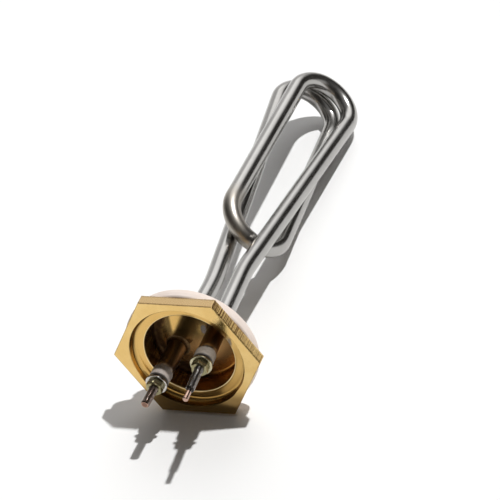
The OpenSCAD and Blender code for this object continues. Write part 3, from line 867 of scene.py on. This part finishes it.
def steel_tube_material():
    """Polished stainless tube: fine drawing lines, faint smudges, a scuffed low bend and browned legs."""
    t = new_tree("stainless_tube")
    uv = t.add("TexCoord", out="UV")
    p = t.place()
    x, y, _ = t.split(p)
    lines = t.noise(t.add("Mapping", Vector=uv, Scale=(90.0, 0.5, 1.0)), scale=1.0)
    smudge, pits = t.noise(p, scale=0.05), t.noise(p, scale=2.2)
    middle = path_distances(element_path())[-1] / 2 / MM_PER_CM
    from_middle = t.math("ABSOLUTE", t.math("SUBTRACT", t.split(uv)[1], middle))
    scuffed = t.times(t.ramp(from_middle, *SCUFF_REACH_CM), t.ramp(x, *SCUFF_LEFT))
    heat = t.ramp(y, *LEG_HEAT)
    colour = t.mix(t.ramp(smudge, 0.3, 0.7), STEEL_DARK, STEEL_LIGHT)
    colour = t.tint(colour, STEEL_SCUFFED, scuffed, 0.8)
    # Heat tint on the legs, the left one painted lighter against the dark reflections in the cup
    brown = t.mix(t.ramp(x, *RIGHT_SIDE), LEG_BROWN["left"], LEG_BROWN["right"])
    colour = t.tint(colour, brown, heat, 0.85)
    rough = t.plus(t.ramp(smudge, 0.3, 0.75, 0.17, 0.23), t.ramp(lines, 0.3, 0.8, 0.0, 0.07))
    rough = t.plus(rough, t.times(heat, 0.12), t.times(scuffed, t.ramp(pits, 0.35, 0.65, 0.12, 0.22)))
    bumped = t.bump(pits, strength=0.05, distance=0.04, Normal=t.bump(lines, strength=0.08))
    return t.finish(Base_Color=colour, Metallic=1.0, Roughness=rough, Normal=bumped)


def rubber_material():
    """Soft pale silicone with a dusty, slightly mottled surface."""
    t = new_tree("silicone_ring")
    p = t.place()
    mottle, fine = t.noise(p, scale=0.16, detail=5.0), t.noise(p, scale=3.5)
    colour = t.mix(t.ramp(mottle, 0.3, 0.7), SILICONE_DUSKY, SILICONE_PALE)
    rough = t.ramp(fine, 0.2, 0.8, 0.6, 0.75)
    return t.finish(Base_Color=colour, Roughness=rough, Normal=t.bump(fine, strength=0.12))


def leg_offset(t, p, side):
    """Offset from a leg's point in the seating plane, and the leg's direction towards its terminal."""
    m = leg_matrix(side)
    return t.vector("SUBTRACT", p, m.to_translation()), m.to_3x3() @ Vector((0, 0, 1))


def leg_height(t, p, side):
    """Distance along a leg from the seating plane towards its terminal."""
    return t.along(*leg_offset(t, p, side))


def leg_radius(t, p, side):
    """Distance from a leg's axis."""
    return t.length(t.vector("CROSS_PRODUCT", *leg_offset(t, p, side)))


def ceramic_material(side):
    """Unglazed grey-white ceramic with fine speckle, a few dark marks and painted shade at the washer's end.
    """
    t = new_tree(f"steatite_{side}")
    p = t.place()
    speck, stain = t.noise(p, scale=4.5, detail=5.0, roughness=0.7), t.noise(p, scale=0.5)
    clean, dirty = (t.blend(stain, *pair, high=0.75) for pair in (BEAD_CLEAN, BEAD_DIRTY))
    colour = t.mix(t.ramp(t.split(p)[0], *RIGHT_SIDE), clean, dirty)
    colour = t.mix(t.ramp(speck, 0.66, 0.74), colour, BEAD_SPECK)
    # Painted shade on the bead next to the washer
    end_shade = t.ramp(leg_height(t, p, side), BEAD_END - 0.7, BEAD_END - 0.35)
    colour = t.tint(colour, BEAD_END_SHADE, end_shade, 0.85)
    rough = t.ramp(speck, 0.3, 0.7, 0.45, 0.62)
    return t.finish(Base_Color=colour, Roughness=rough, Normal=t.bump(speck, strength=0.25))


def plain_metal(name, light, dark, rough):
    """A bright metal with colour and gloss that vary a little and a finely scratched surface."""
    t = new_tree(name)
    p = t.place()
    fine = t.noise(p, scale=9.0)
    colour = t.blend(t.noise(p, scale=1.2), dark, light)
    gloss = t.ramp(fine, 0.2, 0.8, *rough)
    scratches = t.bump(fine, strength=0.12, distance=0.03)
    return t.finish(Base_Color=colour, Metallic=1.0, Roughness=gloss, Normal=scratches)


def pin_material(side):
    """Steel thread with painted shade in its roots and on the tail's neck, a bare coppery end, its core
    darker on the left one.
    """
    t = new_tree(f"pin_{side}")
    p = t.place()
    along, radius = leg_height(t, p, side), leg_radius(t, p, side)
    end = NUT_END + STUD_FREE[side]
    start = end + COPPER_START[side]
    cloud, fine = t.noise(p, scale=1.4), t.noise(p, scale=9.0)
    steel = t.blend(cloud, *PIN_STEEL[side])
    # Painted shade in the thread's roots and on the tail's neck, below the crests' radius
    steel = t.mix(t.ramp(radius, STUD_R - 0.3, STUD_R - 0.1), THREAD_ROOT_SHADE, steel)
    copper = t.blend(cloud, COPPER_DULL, COPPER_BRIGHT)
    colour = t.mix(t.ramp(along, start, start + COPPER_FADE), steel, copper)
    if side == "left":
        core = t.times(t.ramp(radius, *CORE_EDGE), t.ramp(along, end - 0.2, end - 0.1))
        colour = t.mix(core, colour, COPPER_CORE)
    rough = t.ramp(fine, 0.2, 0.8, 0.1, 0.2)
    scratches = t.bump(fine, strength=0.1, distance=0.03)
    return t.finish(Base_Color=colour, Metallic=1.0, Roughness=rough, Normal=scratches)


def powder_material(name, light, dark, rough):
    """A dull grainy solid for the hidden inner pieces."""
    t = new_tree(name)
    grain = t.noise(t.place(), scale=3.0, detail=5.0, roughness=0.65)
    colour = t.blend(grain, dark, light)
    return t.finish(Base_Color=colour, Roughness=rough, Normal=t.bump(grain, strength=0.3, distance=0.08))


def winding_material():
    """Close turns of oxidised resistance wire, drawn as fine ribs along the sleeve."""
    t = new_tree("resistance_wire")
    pattern = {"Scale": 0.9, "Distortion": 0.6, "Detail": 2.0}
    ribs = t.add("TexWave", {"bands_direction": "Y"}, Vector=t.place(), **pattern)
    colour = t.mix(t.ramp(ribs, 0.2, 0.8), WIRE_DARK, WIRE_LIGHT)
    rough = t.ramp(ribs, 0.2, 0.8, 0.35, 0.5)
    relief = t.bump(ribs, strength=0.5, distance=0.2)
    return t.finish(Base_Color=colour, Metallic=1.0, Roughness=rough, Normal=relief)


# The object

def dress(obj, material, slot, *nodes):
    """Gives a new piece its material and its place in the part."""
    obj.data.materials.clear()
    obj.data.materials.append(material)
    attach(obj, "root")
    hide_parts(*nodes)


def coat(node, material):
    """Gives a carried-over solid a better material."""
    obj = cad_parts[node]
    obj.data.materials.clear()
    obj.data.materials.append(material)


braze = plain_metal("braze_alloy", (0.24, 0.15, 0.07, 1), (0.13, 0.078, 0.036, 1), (0.4, 0.55))
plating = {"left": plain_metal("nickel_plate", (0.66, 0.64, 0.60, 1), (0.46, 0.44, 0.41, 1), (0.08, 0.16)),
           "right": plain_metal("yellow_plate", (0.56, 0.52, 0.37, 1), (0.36, 0.33, 0.21, 1), (0.1, 0.2))}
olive = plain_metal("nut_plating", (0.38, 0.34, 0.20, 1), (0.22, 0.20, 0.11, 1), (0.18, 0.32))
spring = plain_metal("spring_steel", (0.30, 0.29, 0.28, 1), (0.16, 0.155, 0.15, 1), (0.25, 0.4))
magnesia = powder_material("magnesia_powder", (0.90, 0.89, 0.86, 1), (0.80, 0.79, 0.76, 1), 0.9)
resin = powder_material("seal_resin", (0.56, 0.22, 0.15, 1), (0.46, 0.16, 0.11, 1), 0.5)

dress(make_plug(), brass_material(), "brass", "screw_plug")
dress(make_ring(), rubber_material(), "silicone", "sealing_ring")
dress(make_sheath(), steel_tube_material(), "stainless", "element_sheath")
coat("magnesia_filling", magnesia)
coat("resistance_winding", winding_material())
for side in SIDES:
    dress(make_braze(side), braze, "braze", f"braze_joint_{side}")
    dress(make_pin(side), pin_material(side), "pin_steel", f"terminal_pin_{side}")
    dress(make_insulator(side), ceramic_material(side), "steatite", f"insulator_{side}")
    dress(make_spring_washer(side), spring, "spring_steel", f"spring_washer_{side}")
    dress(make_flat_washer(side), plating[side], "plated_steel", f"flat_washer_{side}")
    dress(make_nut(side), olive, "plated_steel", f"terminal_nut_{side}")
    coat(f"end_seal_{side}", resin)


# Floor, light and camera

FLOOR_SIZE, FLOOR_COLOUR, FLOOR_ROUGHNESS = 8.0, (0.97, 0.97, 0.965, 1), 0.95
LOOP_FROM, MOST_TILT, HALVINGS = 100.0, 15.0, 40
SUN_TRAVEL, SUN_STRENGTH, SUN_ANGLE = (-0.305, -0.18, -0.935), 2.58, 2.0
CAMERA_AZIMUTH, CAMERA_ELEVATION, CAMERA_ROLL = 25.04, 35.10, 12.10
CAMERA_TARGET, CAMERA_DISTANCE = (2.65, 71.79, -1.59), 1825.0
CAMERA_LENS, CAMERA_SENSOR, CAMERA_REACH = 288.0, 36.0, 100.0

# Soft patches of light: direction, angles from it where they fade out and are full, and strength
LEFT_WALL = ((-0.46, 0.86, 0.21), 42.0, 18.0, 0.75)
FILL_LIGHT = ((-0.04, 0.64, 0.77), 30.0, 8.0, 1.45)
OVERHEAD = ((0.10, 0.12, 0.985), 54.0, 12.0, 0.22)
RIGHT_WALL = ((0.99, -0.09, 0.09), 25.0, 10.0, 0.45)

# The room: its colour and level all round, and a lighter band in front with its strength and heights
ROOM_TINT, ROOM_LEVEL = (1.0, 0.90, 0.80, 1), 0.03
BAND_STRENGTH, BAND_TOP, BAND_FULL, BAND_FRONT = 0.28, 0.36, 0.02, -0.6


def resting_plane():
    """Tilt about X, normal and height of the plane that the ring and the element's loop both touch."""
    ring, loop = (np.array([v.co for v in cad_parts[node].data.vertices])
                  for node in ("sealing_ring", "element_sheath"))
    loop = loop[loop[:, 1] > LOOP_FROM * MM]
    low, high = 0.0, math.radians(MOST_TILT)
    for _ in range(HALVINGS):
        tilt = (low + high) / 2
        normal = np.array([0.0, -math.sin(tilt), math.cos(tilt)])
        if (ring @ normal).min() < (loop @ normal).min():
            low = tilt
        else:
            high = tilt
    return tilt, Vector(normal), (ring @ normal).min()


def make_floor():
    """A plain pale floor that the part rests on."""
    tilt, normal, height = resting_plane()
    half = FLOOR_SIZE / 2
    corners = [(-half, -half, 0), (half, -half, 0), (half, half, 0), (-half, half, 0)]
    mesh = bpy.data.meshes.new("floor")
    mesh.from_pydata(corners, [], [(0, 1, 2, 3)])
    floor = bpy.data.objects.new("floor", mesh)
    bpy.context.scene.collection.objects.link(floor)
    floor.matrix_world = Matrix.Translation(normal * height) @ Matrix.Rotation(tilt, 4, "X")
    look = {"Base_Color": FLOOR_COLOUR, "Roughness": FLOOR_ROUGHNESS, "Specular_IOR_Level": 0.0}
    mesh.materials.append(new_tree("pale_floor").finish(**look))


def make_sun():
    """The one lamp, which casts the photo's shadows."""
    sun = bpy.data.lights.new("sun", "SUN")
    sun.energy = SUN_STRENGTH
    sun.angle = math.radians(SUN_ANGLE)
    lamp = bpy.data.objects.new("sun", sun)
    lamp.rotation_euler = Vector(SUN_TRAVEL).to_track_quat("-Z", "Y").to_euler()
    bpy.context.scene.collection.objects.link(lamp)


def glow(t, toward, centre, faint, full, amount):
    """A soft patch of light round a direction."""
    closeness = t.along(toward, Vector(centre).normalized())
    return t.ramp(closeness, math.cos(math.radians(faint)), math.cos(math.radians(full)), 0.0, amount)


def make_world():
    """A dim warm room with soft white patches of light."""
    world = bpy.data.worlds.new("studio")
    bpy.context.scene.world = world
    t = Tree(world)
    toward = t.add("TexCoord", out="Generated")
    patches = [glow(t, toward, *patch) for patch in (LEFT_WALL, FILL_LIGHT, OVERHEAD, RIGHT_WALL)]
    white = t.add("Background", Color=(1, 1, 1, 1), Strength=t.plus(*patches))
    _, y, z = t.split(toward)
    band = t.times(t.ramp(z, BAND_TOP, BAND_FULL, 0.0, BAND_STRENGTH), t.ramp(y, 0.0, BAND_FRONT))
    warm = t.add("Background", Color=ROOM_TINT, Strength=t.plus(band, ROOM_LEVEL))
    t.end("OutputWorld", t.add("AddShader", i0=white, i1=warm))


def make_camera():
    """A camera at the photo's viewing angle, tipped sideways as the photo's was."""
    a, e, roll = (math.radians(v) for v in (CAMERA_AZIMUTH, CAMERA_ELEVATION, CAMERA_ROLL))
    back = Vector((math.sin(a) * math.cos(e), -math.cos(a) * math.cos(e), math.sin(e)))
    right = Vector((0, 0, 1)).cross(back).normalized()
    up = back.cross(right) * math.cos(roll) + right * math.sin(roll)
    data = bpy.data.cameras.new("camera")
    data.lens, data.sensor_width = CAMERA_LENS, CAMERA_SENSOR
    data.clip_end = CAMERA_REACH
    camera = bpy.data.objects.new("camera", data)
    place = (Vector(CAMERA_TARGET) + back * CAMERA_DISTANCE) * MM
    facing = Matrix((up.cross(back), up, back)).transposed().to_4x4()
    camera.matrix_world = Matrix.Translation(place) @ facing
    bpy.context.scene.collection.objects.link(camera)
    bpy.context.scene.camera = camera


make_floor()
make_sun()
make_world()
make_camera()
bpy.context.scene.view_settings.view_transform = "Standard"
